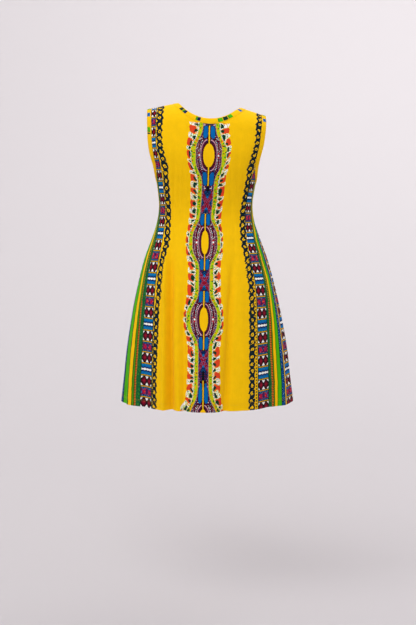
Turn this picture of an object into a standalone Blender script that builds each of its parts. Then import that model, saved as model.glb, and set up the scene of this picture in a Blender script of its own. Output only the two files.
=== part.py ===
"""Sleeveless A-line dress, worn and hollow, cut from six panels and three bindings.

Units are metres, +Z is up, the front of the dress faces -Y and the wearer's left is +X.
The origin lies midway between the shoulder tops, where the wearer holds the dress up.

Every piece is a wall over one form. A place on the form is an angle round the body, 0 at
the centre back and 180 at the centre front, and a length of cloth down from the shoulder
ridge. Both sides of a seam use the same places, so they run 0.3 mm apart all along it.
"""
import bisect
import math

import bmesh
import bpy
import numpy as np
from mathutils import Vector

# Sizes of the cloth
WALL = 0.0015
BINDING_RISE = 0.0006
BINDING_BACKING = 0.0020
SEAM_GAP = 0.0003
HALF_GAP = SEAM_GAP / 2

# Levels of the form
CAP_RADIUS = 0.06
UNDERARM_LEVEL = -0.2175
HEM_LEVEL = -0.886
HEM_DIP_BACK = 0.003

# Shoulders: they slope away from the neck, and the wearer's left one is higher
SHOULDER_START = 0.08
SHOULDER_TIP = 0.178
SHOULDER_DROP = 0.025
SHOULDER_POWER = 1.15
SHOULDER_TILT = 0.056
TILT_FADE = 0.45

# Neck opening, round and wide; its centre lies a little toward the wearer's right
NECK_SHIFT = -0.008
NECK_HALF_WIDTH = 0.091
NECK_DROP_BACK = 0.079
NECK_DROP_FRONT = 0.129
NECK_BINDING = 0.017

# Armholes, each a tall opening that turns in under the arm
ARM_BINDING = 0.013
ARM_TIP_BACK = 0.176
ARM_TIP_FRONT = 0.173
ARM_ROUNDNESS = 6.0

# Counts of the mesh grids, and how far down the neck's curve still bends the rows
NECK_COLUMNS = 16
SHOULDER_COLUMNS = 3
SIDE_COLUMNS = 10
ARM_ROWS = 16
SKIRT_ROWS = 18
NECK_BLEND = 0.40

# A binding's rounded cross-section: the share of the way from its seam to its edge, and
# the rise out of the cloth
BINDING_PROFILE = (
    (0.00, 0.0),
    (0.14, BINDING_RISE),
    (0.86, BINDING_RISE),
    (1.00, -0.2 * WALL),
    (1.00, -0.8 * WALL),
    (0.86, -BINDING_BACKING),
    (0.14, -BINDING_BACKING),
    (0.00, -WALL),
)

# Cross-sections of the form, top to hem
SECTION_COLUMNS = ("level", "half_width", "back", "front", "square_back", "square_front", "shift")
SECTIONS = (
    (0.000, 0.1930, 0.070, 0.068, 2.6, 2.4, -0.0020),
    (-0.030, 0.1925, 0.077, 0.079, 2.6, 2.4, -0.0020),
    (-0.070, 0.1900, 0.088, 0.093, 2.6, 2.4, -0.0010),
    (-0.110, 0.1855, 0.098, 0.106, 2.6, 2.4, 0.0010),
    (-0.150, 0.1750, 0.104, 0.120, 2.6, 2.3, 0.0030),
    (-0.190, 0.1605, 0.104, 0.132, 2.5, 2.3, 0.0020),
    (-0.2175, 0.1510, 0.101, 0.133, 2.5, 2.3, 0.0015),
    (-0.260, 0.1430, 0.095, 0.127, 2.4, 2.2, 0.0020),
    (-0.300, 0.1400, 0.091, 0.118, 2.3, 2.2, 0.0025),
    (-0.345, 0.1455, 0.093, 0.113, 2.2, 2.2, 0.0023),
    (-0.390, 0.1600, 0.104, 0.117, 2.15, 2.2, 0.0020),
    (-0.450, 0.1815, 0.121, 0.128, 2.05, 2.1, 0.0020),
    (-0.550, 0.2080, 0.147, 0.147, 1.92, 2.0, 0.0010),
    (-0.650, 0.2290, 0.165, 0.163, 1.82, 1.9, 0.0000),
    (-0.730, 0.2425, 0.176, 0.174, 1.76, 1.85, -0.0010),
    (-0.800, 0.2505, 0.183, 0.181, 1.72, 1.8, -0.0014),
    (-0.886, 0.2610, 0.190, 0.188, 1.68, 1.8, -0.0018),
)

# The centre lines, as X at each level, and the princess seams, as distance from them
SEAM_COLUMNS = ("level", "axis_back", "axis_front", "seam_back", "seam_front")
SEAMS = (
    (0.000, -0.005, -0.004, 0.151, 0.150),
    (-0.060, -0.003, -0.003, 0.151, 0.146),
    (-0.125, -0.001, -0.002, 0.148, 0.132),
    (-0.190, 0.001, 0.000, 0.133, 0.108),
    (-0.260, 0.003, 0.001, 0.123, 0.097),
    (-0.300, 0.004, 0.001, 0.118, 0.096),
    (-0.390, 0.005, 0.001, 0.123, 0.106),
    (-0.450, 0.006, 0.001, 0.134, 0.116),
    (-0.520, 0.007, 0.001, 0.142, 0.127),
    (-0.580, 0.008, 0.001, 0.145, 0.135),
    (-0.650, 0.008, 0.000, 0.147, 0.141),
    (-0.730, 0.009, 0.000, 0.149, 0.148),
    (-0.886, 0.010, 0.000, 0.151, 0.155),
)

# The largest folds: each starts at a level, runs to the hem and grows on its way
FOLD_COLUMNS = ("top_level", "top_angle", "hem_angle", "half_angle", "depth")
FOLDS = (
    (-0.40, 3.0, 2.0, 11.0, 0.009),
    (-0.46, 21.0, 15.5, 3.4, -0.007),
    (-0.50, 27.5, 20.3, 3.4, 0.005),
    (-0.38, 34.0, 25.0, 4.4, -0.013),
    (-0.50, 43.0, 35.0, 5.5, 0.005),
    (-0.50, 60.0, 51.0, 7.0, -0.010),
    (-0.55, 72.0, 66.0, 5.5, 0.006),
    (-0.52, 101.0, 102.0, 6.0, -0.007),
    (-0.46, 119.0, 117.0, 6.0, 0.008),
    (-0.44, 134.0, 135.0, 5.0, -0.012),
    (-0.50, 149.0, 150.0, 6.5, 0.008),
    (-0.43, 163.0, 164.0, 5.0, -0.010),
    (-0.41, 181.0, 179.0, 8.5, 0.010),
    (-0.45, -163.0, -165.0, 4.5, -0.011),
    (-0.52, -150.0, -151.0, 5.5, 0.007),
    (-0.42, -133.0, -137.0, 5.5, -0.012),
    (-0.49, -116.0, -119.0, 6.5, 0.008),
    (-0.51, -100.0, -103.0, 5.5, -0.006),
    (-0.54, -71.0, -66.0, 6.0, 0.006),
    (-0.48, -58.0, -49.0, 7.0, -0.010),
    (-0.50, -38.0, -30.0, 7.0, 0.005),
    (-0.40, -26.0, -12.5, 4.2, -0.012),
)

# Colours of the panels and bindings
MATERIALS = {
    "centre_print": ((0.965, 0.570, 0.010, 1.0), 0.85),
    "side_print": ((0.080, 0.250, 0.080, 1.0), 0.85),
    "binding_print": ((0.800, 0.480, 0.020, 1.0), 0.80),
}


def smoothstep(value):
    """Ease from 0 to 1 with level ends."""
    value = min(max(value, 0.0), 1.0)
    return value * value * (3 - 2 * value)


def mix(first, second, share):
    return first + (second - first) * share


def table_curves(columns, rows):
    """Each column of a table as depths, values and slopes, for a smooth curve through them."""
    depths = [-row[0] for row in rows]
    values = {name: [row[column] for row in rows] for column, name in enumerate(columns)}
    return {name: (depths, values[name], list(np.gradient(values[name], depths))) for name in columns}


SECTION_CURVES = table_curves(SECTION_COLUMNS, SECTIONS)
SEAM_CURVES = table_curves(SEAM_COLUMNS, SEAMS)


def read_curve(curve, level):
    """The value of a table's curve at a level."""
    depths, values, slopes = curve
    depth = min(max(-level, depths[0]), depths[-1])
    row = min(bisect.bisect_right(depths, depth) - 1, len(depths) - 2)
    step = depths[row + 1] - depths[row]
    share = (depth - depths[row]) / step
    square = share * share
    cube = square * share
    return ((2 * cube - 3 * square + 1) * values[row]
            + (cube - 2 * square + share) * step * slopes[row]
            + (3 * square - 2 * cube) * values[row + 1]
            + (cube - square) * step * slopes[row + 1])


def section(name, level):
    return float(read_curve(SECTION_CURVES[name], level))


def seam(name, level):
    return float(read_curve(SEAM_CURVES[name], level))


NAMED_FOLDS = [dict(zip(FOLD_COLUMNS, row)) for row in FOLDS]


def level_of(down):
    """The level that lies a length of cloth down from the shoulder ridge."""
    cap = CAP_RADIUS * math.pi / 2
    if down < cap:
        return -CAP_RADIUS * (1 - math.cos(down / CAP_RADIUS))
    return -CAP_RADIUS - (down - cap)


def down_of(level):
    """The length of cloth from the shoulder ridge to a level below the cap."""
    return CAP_RADIUS * math.pi / 2 - level - CAP_RADIUS


UNDERARM = down_of(UNDERARM_LEVEL)
UNDERARM_SEAM = UNDERARM + ARM_BINDING
HEM = down_of(HEM_LEVEL)


def cap_share(down):
    """How far the form has opened out from the flat shoulder ridge."""
    return math.sin(min(down / CAP_RADIUS, math.pi / 2))


def shoulder_lift(side, down):
    """The rise or fall of the shoulders at an X; the slope is gone at the underarm."""
    share = max(abs(side) - SHOULDER_START, 0.0) / (SHOULDER_TIP - SHOULDER_START)
    slope = SHOULDER_DROP * share ** SHOULDER_POWER * (1 - smoothstep(down / UNDERARM))
    return SHOULDER_TILT * side * (1 - smoothstep(down / TILT_FADE)) - slope


def fold_push(angle, level):
    """How far the folds push the cloth out, or in where negative."""
    push = 0.0
    for fold in NAMED_FOLDS:
        run = (fold["top_level"] - level) / (fold["top_level"] - HEM_LEVEL)
        if run > 0:
            centre = mix(fold["top_angle"], fold["hem_angle"], run)
            away = (math.degrees(angle) - centre + 180) % 360 - 180
            push += fold["depth"] * math.sin(run * math.pi / 2) * math.exp(-(away / fold["half_angle"]) ** 2)
    return push


def form_point(angle, down):
    """The outer face of the cloth at an angle and a length down."""
    level = level_of(down)
    at_back = math.cos(angle) > 0
    half_width = section("half_width", level)
    half_depth = section("back" if at_back else "front", level)
    square = section("square_back" if at_back else "square_front", level)
    across = math.sin(angle)
    along = math.cos(angle)
    reach = (abs(across) ** square + abs(along) ** square) ** (-1 / square)
    side = half_width * reach * across
    depth = half_depth * reach * along
    out = Vector((side / half_width ** 2, depth / half_depth ** 2, 0)).normalized()
    push = fold_push(angle, level)
    dip = HEM_DIP_BACK * smoothstep((down - UNDERARM) / (HEM - UNDERARM)) * max(along, 0.0)
    x = side + section("shift", level)
    z = level - dip + shoulder_lift(x, down)
    return Vector((x + out.x * push, (depth + out.y * push) * cap_share(down), z))


def form_speed(angle, down):
    """How fast the form runs round the body and down it, at a place."""
    step = 1e-4
    around = (form_point(angle + step, down) - form_point(angle - step, down)) / (2 * step)
    downward = (form_point(angle, down + step) - form_point(angle, down - step)) / (2 * step)
    return around, downward


def cloth_point(place, rise):
    """A point at a place on the form, raised out of the cloth or sunk into it."""
    angle, down = place
    around, downward = form_speed(angle, down)
    return form_point(angle, down) + around.cross(downward).normalized() * rise


def moved(place, around, downward):
    """A place moved round the body and down it by distances in the cloth."""
    angle, down = place
    speed_around, speed_down = form_speed(angle, down)
    return angle + around / speed_around.length, down + downward / speed_down.length


def angle_at(side, down, front=False):
    """The angle where the form passes an X, on its back or its front."""
    level = level_of(down)
    square = section("square_front" if front else "square_back", level)
    share = (side - section("shift", level)) / section("half_width", level)
    size = min(abs(share), 0.9999)
    angle = math.atan2(size, (1 - size ** square) ** (1 / square))
    return math.copysign(math.pi - angle if front else angle, share)


def seam_lines(down, front):
    """The X of the centre line and the distance from it to the princess seams."""
    level = level_of(down)
    place = "front" if front else "back"
    return seam("axis_" + place, level), seam("seam_" + place, level)


def seam_angle(reach, down, front=False):
    """The angle at a share of the way from the centre line to a princess seam.

    The reach is 1 at the seam on the wearer's left and -1 at the one on the right.
    """
    axis, distance = seam_lines(down, front)
    return angle_at(axis + reach * distance, down, front)


def seam_reach(side, down, front):
    """The share of the way from the centre line to a princess seam that an X lies at."""
    axis, distance = seam_lines(down, front)
    return (side - axis) / distance


def neck_curve(share, widen, front=False):
    """The X and the length down of a curve round the neck.

    The share runs from -1 at the right shoulder to 1 at the left, and the curve lies wider
    than the neck's finished edge.
    """
    drop = (NECK_DROP_FRONT if front else NECK_DROP_BACK) + widen
    turn = share * math.pi / 2
    return NECK_SHIFT + (NECK_HALF_WIDTH + widen) * math.sin(turn), drop * math.cos(turn)


def armhole_place(hand, share, inset, front=False):
    """A place on an armhole's edge, or on the curve that lies inset from it.

    The share runs from 0 at the shoulder ridge to 1 under the arm.
    """
    tip = hand * ((ARM_TIP_FRONT if front else ARM_TIP_BACK) - inset)
    start = abs(angle_at(tip, 0.0, front))
    open_share = math.sqrt(1 - share ** ARM_ROUNDNESS)
    return hand * mix(math.pi / 2, start, open_share), share * (UNDERARM + inset)


def row_lengths():
    """The lengths down that the rows of all panels share."""
    arm = [UNDERARM_SEAM * (1 - math.cos(math.pi * row / ARM_ROWS)) / 2 for row in range(ARM_ROWS + 1)]
    skirt = [mix(UNDERARM_SEAM, HEM, row / SKIRT_ROWS) for row in range(1, SKIRT_ROWS + 1)]
    return arm + skirt


ROWS = row_lengths()


def centre_place(column, row, front):
    """A corner of a centre panel's grid, from its right princess seam to its left one."""
    half_neck = NECK_COLUMNS / 2
    half_columns = half_neck + SHOULDER_COLUMNS
    step = column - half_columns
    top_side, top_down = neck_curve(min(max(step / half_neck, -1), 1), NECK_BINDING + HALF_GAP, front)
    top_reach = seam_reach(top_side, top_down, front)
    if abs(step) >= half_neck:
        top_reach = mix(top_reach, math.copysign(1, step), (abs(step) - half_neck) / SHOULDER_COLUMNS)
        top_down = 0.0
    blend = smoothstep(ROWS[row] / NECK_BLEND)
    down = ROWS[row] + top_down * (1 - blend)
    place = seam_angle(mix(top_reach, step / half_columns, blend), down, front), down
    inward = 0.0
    if abs(step) == half_columns:
        inward = math.copysign(HALF_GAP, step) * (1 if front else -1)
    from_ridge = HALF_GAP if row == 0 and abs(step) >= half_neck else 0.0
    return moved(place, inward, from_ridge)


def side_place(hand, column, row, front):
    """A corner of a side panel's grid, from its princess seam to the armhole and side seam."""
    outward = -hand if front else hand
    down = ROWS[row]
    from_ridge = HALF_GAP if row == 0 else 0.0
    first = moved((seam_angle(hand, down, front), down), outward * HALF_GAP, from_ridge)
    if row <= ARM_ROWS:
        last = armhole_place(hand, down / UNDERARM_SEAM, ARM_BINDING + HALF_GAP, front)
    else:
        last = hand * math.pi / 2, down
    to_seam = HALF_GAP if row >= ARM_ROWS else 0.0
    last = moved(last, -outward * to_seam, from_ridge)
    share = column / SIDE_COLUMNS
    return mix(first[0], last[0], share), mix(first[1], last[1], share)


def finished_object(name, bm, material):
    """Make a smooth-shaded object of its own from a closed mesh."""
    bmesh.ops.recalc_face_normals(bm, faces=bm.faces)
    mesh = bpy.data.meshes.new(name)
    bm.to_mesh(mesh)
    bm.free()
    mesh.shade_smooth()
    mesh.set_sharp_from_angle(angle=math.radians(50))
    mesh.materials.append(material)
    item = bpy.data.objects.new(name, mesh)
    bpy.context.scene.collection.objects.link(item)
    return item


def cloth_panel(name, columns, place_at, material):
    """A panel: a grid on the form, thickened inward to a wall."""
    rows = len(ROWS) - 1
    bm = bmesh.new()
    bmesh.ops.create_grid(bm, x_segments=columns, y_segments=rows, size=0.5)
    outer_face = bm.verts[:]
    inner_face = bmesh.ops.duplicate(bm, geom=bm.verts[:] + bm.edges[:] + bm.faces[:])["vert_map"]
    for vertex in outer_face:
        column = round((vertex.co.x + 0.5) * columns)
        row = round((0.5 - vertex.co.y) * rows)
        place = place_at(column, row)
        vertex.co = cloth_point(place, 0.0)
        inner_face[vertex].co = cloth_point(place, -WALL)
    bmesh.ops.bridge_loops(bm, edges=[edge for edge in bm.edges if edge.is_boundary])
    return finished_object(name, bm, material)


def binding_ring(name, stations, material):
    """A binding: a rounded band that closes round an opening.

    Each station has a place on the band's seam and a place on its finished edge.
    """
    count = len(stations)
    around = len(BINDING_PROFILE)
    bm = bmesh.new()
    bmesh.ops.create_grid(bm, x_segments=count, y_segments=around, size=0.5)
    for vertex in bm.verts:
        on_seam, on_edge = stations[round((vertex.co.x + 0.5) * count) % count]
        across, rise = BINDING_PROFILE[round((0.5 - vertex.co.y) * around) % around]
        place = mix(on_seam[0], on_edge[0], across), mix(on_seam[1], on_edge[1], across)
        vertex.co = cloth_point(place, rise)
    bmesh.ops.remove_doubles(bm, verts=bm.verts, dist=1e-5)
    return finished_object(name, bm, material)


def neck_stations():
    """Places round the neck: along the back to the left shoulder, then along the front."""
    half = NECK_COLUMNS // 2
    steps = [(step / half, False) for step in range(-half, half + 1)]
    steps += [(step / half, True) for step in range(half - 1, -half, -1)]
    stations = []
    for share, front in steps:
        station = []
        for widen in (NECK_BINDING - HALF_GAP, 0.0):
            side, down = neck_curve(share, widen, front)
            station.append((angle_at(side, down, front), down))
        stations.append(station)
    return stations


def armhole_stations(hand):
    """Places round an armhole: down its back, under the arm and up its front."""
    steps = [(row, False) for row in range(ARM_ROWS + 1)]
    steps += [(row, True) for row in range(ARM_ROWS - 1, 0, -1)]
    return [[armhole_place(hand, ROWS[row] / UNDERARM_SEAM, inset, front)
             for inset in (ARM_BINDING - HALF_GAP, 0.0)] for row, front in steps]


def cloth_material(name):
    """A plain material in the cloth's main colour."""
    colour, roughness = MATERIALS[name]
    material = bpy.data.materials.new(name)
    material.use_nodes = True
    shader = material.node_tree.nodes["Principled BSDF"]
    shader.inputs["Base Color"].default_value = colour
    shader.inputs["Roughness"].default_value = roughness
    shader.inputs["Metallic"].default_value = 0.0
    return material


def build_dress():
    """Make the six panels and the three bindings, all held by one empty."""
    centre_cloth = cloth_material("centre_print")
    side_cloth = cloth_material("side_print")
    binding_cloth = cloth_material("binding_print")
    centre_columns = NECK_COLUMNS + 2 * SHOULDER_COLUMNS
    pieces = [binding_ring("neck_binding", neck_stations(), binding_cloth)]
    for place, front in (("back", False), ("front", True)):
        pieces.append(cloth_panel(
            place + "_centre", centre_columns,
            lambda column, row, front=front: centre_place(column, row, front), centre_cloth))
        for side, hand in (("left", 1), ("right", -1)):
            pieces.append(cloth_panel(
                place + "_side_" + side, SIDE_COLUMNS,
                lambda column, row, hand=hand, front=front: side_place(hand, column, row, front), side_cloth))
    for side, hand in (("left", 1), ("right", -1)):
        pieces.append(binding_ring("armhole_binding_" + side, armhole_stations(hand), binding_cloth))
    dress = bpy.data.objects.new("dress", None)
    bpy.context.scene.collection.objects.link(dress)
    for piece in pieces:
        piece.parent = dress


for old in list(bpy.data.objects):
    bpy.data.objects.remove(old, do_unlink=True)
build_dress()
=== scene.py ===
import math
from functools import partial
import bmesh
import bpy
import numpy as np
from mathutils import Matrix, Vector


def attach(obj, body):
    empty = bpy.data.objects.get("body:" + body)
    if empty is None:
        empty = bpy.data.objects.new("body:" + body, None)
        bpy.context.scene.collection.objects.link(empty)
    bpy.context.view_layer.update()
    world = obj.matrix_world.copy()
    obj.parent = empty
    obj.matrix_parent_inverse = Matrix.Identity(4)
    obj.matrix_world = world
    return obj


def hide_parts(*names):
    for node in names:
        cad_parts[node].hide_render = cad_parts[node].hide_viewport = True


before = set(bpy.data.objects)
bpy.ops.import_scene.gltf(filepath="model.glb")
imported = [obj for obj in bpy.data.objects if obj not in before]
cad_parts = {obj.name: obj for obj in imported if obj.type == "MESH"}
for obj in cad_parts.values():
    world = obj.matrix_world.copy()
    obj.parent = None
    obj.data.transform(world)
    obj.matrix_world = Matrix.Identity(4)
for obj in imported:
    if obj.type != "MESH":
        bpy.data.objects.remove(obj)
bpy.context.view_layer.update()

# Form of the dress: an angle round the body, 0 at the centre back, and a length of cloth down from the
# shoulder ridge
form = {
    "capRadius": 0.06, "underarmLevel": -0.2175, "hemLevel": -0.886, "hemDipBack": 0.003,
    "shoulderStart": 0.08, "shoulderTip": 0.178, "shoulderDrop": 0.025, "shoulderPower": 1.15,
    "shoulderTilt": 0.056, "tiltFade": 0.45, "creaseFade": (0.3, 0.4),
    # tables in millimetres and degrees, squareness in thousandths
    # level, half width, back, front, squareness back and front, shift
    "sections": (
        (0, 193, 70, 68, 2600, 2400, -2), (-30, 192.5, 77, 79, 2600, 2400, -2),
        (-70, 190, 88, 93, 2600, 2400, -1), (-110, 185.5, 98, 106, 2600, 2400, 1),
        (-150, 175, 104, 120, 2600, 2300, 3), (-190, 160.5, 104, 132, 2500, 2300, 2),
        (-217.5, 151, 101, 133, 2500, 2300, 1.5), (-260, 143, 95, 127, 2400, 2200, 2),
        (-300, 140, 91, 118, 2300, 2200, 2.5), (-345, 145.5, 93, 113, 2200, 2200, 2.3),
        (-390, 160, 104, 117, 2150, 2200, 2), (-450, 181.5, 121, 128, 2050, 2100, 2),
        (-550, 208, 147, 147, 1920, 2000, 1), (-650, 229, 165, 163, 1820, 1900, 0),
        (-730, 242.5, 176, 174, 1760, 1850, -1), (-800, 250.5, 183, 181, 1720, 1800, -1.4),
        (-886, 261, 190, 188, 1680, 1800, -1.8),
    ),
    # level, centre line back and front, distance to the princess seams back and front
    "seams": (
        (0, -5, -4, 151, 150), (-60, -3, -3, 151, 146), (-125, -1, -2, 148, 132), (-190, 1, 0, 133, 108),
        (-260, 3, 1, 123, 97), (-300, 4, 1, 118, 96), (-390, 5, 1, 123, 106), (-450, 6, 1, 134, 116),
        (-520, 7, 1, 142, 127), (-580, 8, 1, 145, 135), (-650, 8, 0, 147, 141), (-730, 9, 0, 149, 148),
        (-886, 10, 0, 151, 155),
    ),
    # top level, top angle, hem angle, half angle, depth
    "folds": (
        (-400, 3, 2, 11, 9), (-460, 21, 15.5, 3.4, -7), (-500, 27.5, 20.3, 3.4, 5), (-380, 34, 25, 4.4, -13),
        (-500, 43, 35, 5.5, 5), (-500, 60, 51, 7, -10), (-550, 72, 66, 5.5, 6), (-520, 101, 102, 6, -7),
        (-460, 119, 117, 6, 8), (-440, 134, 135, 5, -12), (-500, 149, 150, 6.5, 8), (-430, 163, 164, 5, -10),
        (-410, 181, 179, 8.5, 10), (-450, -163, -165, 4.5, -11), (-520, -150, -151, 5.5, 7),
        (-420, -133, -137, 5.5, -12), (-490, -116, -119, 6.5, 8), (-510, -100, -103, 5.5, -6),
        (-540, -71, -66, 6, 6), (-480, -58, -49, 7, -10), (-500, -38, -30, 7, 5),
        (-400, -26, -12.5, 4.2, -12),
    ),
    # finer creases: X and level of each end, half width, depth; soft at both ends
    "backCreases": (
        (118, -115, 112, -330, 3.2, -1.2), (104, -150, 101, -390, 2.8, 1), (92, -90, 90, -300, 4, -1.1),
        (83, -210, 86, -430, 3.5, -1.4), (74, -130, 76, -360, 3, 0.9), (126, -240, 110, -420, 4, -1.3),
        (66, -240, 69, -470, 4.5, -1), (122, -330, 150, -640, 6, 1.6), (95, -340, 98, -700, 5, -1.6),
        (60, -480, 63, -830, 5, -1.4), (136, -560, 142, -900, 5.5, -1.6), (112, -640, 117, -900, 4.5, 1.2),
        (-70, -160, -72, -370, 5, -0.9), (-92, -110, -88, -280, 5.5, -0.8), (-108, -200, -104, -390, 4, -1),
        (-80, -320, -85, -520, 4.5, -1.2), (-96, -440, -108, -760, 6, 1.4), (-62, -520, -60, -830, 5, -1.2),
        (-118, -540, -128, -900, 6, -1.5), (20, -420, 24, -640, 6, -1), (-22, -500, -18, -800, 6.5, -1.1),
        (34, -620, 38, -900, 5.5, 1), (150, -80, 118, -190, 6, -2.2), (-150, -95, -116, -205, 6, -2),
        (138, -250, 80, -325, 5, -1.4), (-136, -245, -84, -335, 5.5, -1.3), (128, -330, 70, -372, 5, 1.2),
        (-130, -355, -70, -395, 5.5, 1.1), (45, -120, 42, -200, 6, -0.9), (-50, -125, -45, -215, 6, -0.9),
        (106, -370, 108, -900, 6, -11), (119.5, -390, 122, -900, 5.8, 13), (68, -480, 65, -900, 6, -6),
        (-78, -430, -50, -900, 7, -7), (-90, -460, -66, -900, 7, 3), (133, -440, 135, -900, 7, 3),
        (109, -200, 106, -400, 3.5, -2.4), (96.5, -170, 96, -420, 3.2, -2), (79, -150, 80, -330, 3, -1.4),
        (114, -140, 115, -260, 3, -1.6),
    ),
    "frontCreases": (
        (88, -200, 62, -330, 7, -2.4), (-86, -205, -60, -345, 7, -2.2), (120, -235, 74, -360, 6, -1.8),
        (-122, -240, -70, -350, 6, -1.7), (52, -270, 55, -480, 5.5, -1.5), (-48, -300, -52, -520, 5.5, -1.5),
        (24, -330, 28, -610, 6, 1.2), (-20, -380, -26, -680, 6.5, 1.2), (6, -240, 2, -400, 7, -1.2),
        (86, -360, 95, -700, 5.5, -1.7), (-90, -340, -98, -660, 6, -1.7), (118, -520, 124, -900, 6, 1.6),
        (-120, -500, -122, -900, 6, -1.6), (50, -560, 46, -900, 5.5, -1.4), (-52, -600, -55, -900, 5.5, 1.3),
        (148, -90, 104, -180, 6.5, -2.4), (-146, -90, -102, -185, 6.5, -2.3), (110, -110, 98, -260, 5.5, 1),
        (-108, -120, -94, -270, 5.5, 1), (12, -640, 10, -900, 6, -1.2), (134, -300, 72, -330, 5.5, 1.3),
        (-134, -300, -70, -322, 5.5, 1.3),
    ),
    # creases of the side panels: level and angle where each starts and ends, half angle, depth
    "sideCreases": (
        (-300, 66, -700, 60, 2.4, -1.8), (-260, 80, -460, 84, 3, -1.6), (-360, 90, -720, 92, 2.6, 1.6),
        (-470, 77, -900, 75, 2.4, -2), (-300, 104, -560, 108, 2.8, -1.6), (-600, 96, -900, 97, 2, -1.6),
        (-560, 57, -900, 56, 2, 1.6), (-500, 112, -900, 110, 2.2, -1.7), (-290, -68, -640, -61, 2.6, -1.7),
        (-250, -82, -430, -86, 3, -1.5), (-380, -91, -760, -90, 2.4, 1.5), (-500, -79, -900, -80, 2.2, -1.8),
        (-320, -103, -580, -106, 2.6, -1.6), (-620, -98, -900, -96, 2, 1.4),
        (-580, -56, -900, -58, 2.2, -1.6), (-480, -110, -900, -112, 2.4, -1.6),
        (-225, 97, -345, 82, 3.2, -1.4), (-225, -96, -350, -80, 3.2, -1.4),
    ),
}


def smooth(value):
    value = np.clip(value, 0.0, 1.0)
    return value * value * (3 - 2 * value)


def mix(first, second, share):
    return first + (second - first) * share


def readCurve(depths, values, slopes, level):
    depth = np.clip(-np.asarray(level), depths[0], depths[-1])
    row = np.minimum(np.searchsorted(depths, depth, side="right") - 1, len(depths) - 2)
    step = depths[row + 1] - depths[row]
    share = (depth - depths[row]) / step
    square, cube = share ** 2, share ** 3
    return ((2 * cube - 3 * square + 1) * values[row] + (cube - 2 * square + share) * step * slopes[row]
            + (3 * square - 2 * cube) * values[row + 1] + (cube - square) * step * slopes[row + 1])


def curves(rows):
    # each column as a function of the level
    levels, *columns = np.array(rows).T / 1000
    return [partial(readCurve, -levels, values, np.gradient(values, -levels)) for values in columns]


halfWidthAt, backAt, frontAt, squareBackAt, squareFrontAt, shiftAt = curves(form["sections"])
axisBackAt, axisFrontAt, seamBackAt, seamFrontAt = curves(form["seams"])


def levelOf(down):
    cap = form["capRadius"] * math.pi / 2
    onCap = -form["capRadius"] * (1 - np.cos(np.minimum(down, cap) / form["capRadius"]))
    return np.where(down < cap, onCap, -form["capRadius"] - (down - cap))


def downOf(level):
    return form["capRadius"] * math.pi / 2 - level - form["capRadius"]


underarm = downOf(form["underarmLevel"])
hem = downOf(form["hemLevel"])


def shoulderLift(side, down):
    start = form["shoulderStart"]
    share = np.maximum(np.abs(side) - start, 0) / (form["shoulderTip"] - start)
    slope = form["shoulderDrop"] * share ** form["shoulderPower"] * (1 - smooth(down / underarm))
    return form["shoulderTilt"] * side * (1 - smooth(down / form["tiltFade"])) - slope


def angleAt(side, down, front=False):
    level = levelOf(down)
    square = (squareFrontAt if front else squareBackAt)(level)
    share = (side - shiftAt(level)) / halfWidthAt(level)
    size = np.minimum(np.abs(share), 0.9999)
    angle = np.arctan2(size, (1 - size ** square) ** (1 / square))
    return np.copysign(math.pi - angle if front else angle, share)


def wrapped(degreesAway):
    return (degreesAway + 180) % 360 - 180


def creaseFade(run, reachesHem):
    # over the first and the last part of a crease's run
    first, last = form["creaseFade"]
    fade = smooth(run / first)
    return fade if reachesHem else fade * (1 - smooth((run - (1 - last)) / last))


def foldPush(angle, level):
    push = np.zeros(np.broadcast(angle, level).shape)
    turned = np.degrees(angle)
    for topLevel, topAngle, hemAngle, halfAngle, depth in form["folds"]:
        topLevel, depth = topLevel / 1000, depth / 1000
        run = np.maximum((topLevel - level) / (topLevel - form["hemLevel"]), 0)
        away = wrapped(turned - mix(topAngle, hemAngle, run))
        push = push + depth * np.sin(run * math.pi / 2) * np.exp(-(away / halfAngle) ** 2)
    for name, front in (("backCreases", False), ("frontCreases", True)):
        for topSide, topLevel, endSide, endLevel, halfWidth, depth in np.array(form[name]) / 1000:
            run = np.clip((topLevel - level) / (topLevel - endLevel), 0, 1)
            centre = angleAt(mix(topSide, endSide, run), downOf(level), front)
            radius = 0.5 * halfWidthAt(level) + 0.05   # roughly that of the cloth
            wide = np.degrees(halfWidth / radius)
            away = wrapped(turned - np.degrees(centre))
            push = push + depth * creaseFade(run, endLevel < form["hemLevel"]) * np.exp(-(away / wide) ** 2)
    for topLevel, topAngle, endLevel, endAngle, halfAngle, depth in form["sideCreases"]:
        topLevel, endLevel, depth = topLevel / 1000, endLevel / 1000, depth / 1000
        run = np.clip((topLevel - level) / (topLevel - endLevel), 0, 1)
        away = wrapped(turned - mix(topAngle, endAngle, run))
        push = push + depth * creaseFade(run, endLevel < form["hemLevel"]) * np.exp(-(away / halfAngle) ** 2)
    return push


def formPoint(angle, down):
    angle, down = np.broadcast_arrays(np.asarray(angle, float), np.asarray(down, float))
    level = levelOf(down)
    across, along = np.sin(angle), np.cos(angle)
    atBack = along > 0
    halfWidth = halfWidthAt(level)
    halfDepth = np.where(atBack, backAt(level), frontAt(level))
    square = np.where(atBack, squareBackAt(level), squareFrontAt(level))
    reach = (np.abs(across) ** square + np.abs(along) ** square) ** (-1 / square)
    side, depth = halfWidth * reach * across, halfDepth * reach * along
    outX, outY = side / halfWidth ** 2, depth / halfDepth ** 2
    length = np.hypot(outX, outY)
    push = foldPush(angle, level)
    dip = form["hemDipBack"] * smooth((down - underarm) / (hem - underarm)) * np.maximum(along, 0)
    x = side + shiftAt(level)
    z = level - dip + shoulderLift(x, down)
    opened = np.sin(np.minimum(down / form["capRadius"], math.pi / 2))
    return np.stack((x + outX / length * push, (depth + outY / length * push) * opened, z), axis=-1)


def formSpeed(angle, down):
    step = 1e-4
    around = (formPoint(angle + step, down) - formPoint(angle - step, down)) / (2 * step)
    downward = (formPoint(angle, down + step) - formPoint(angle, down - step)) / (2 * step)
    return around, downward


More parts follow.
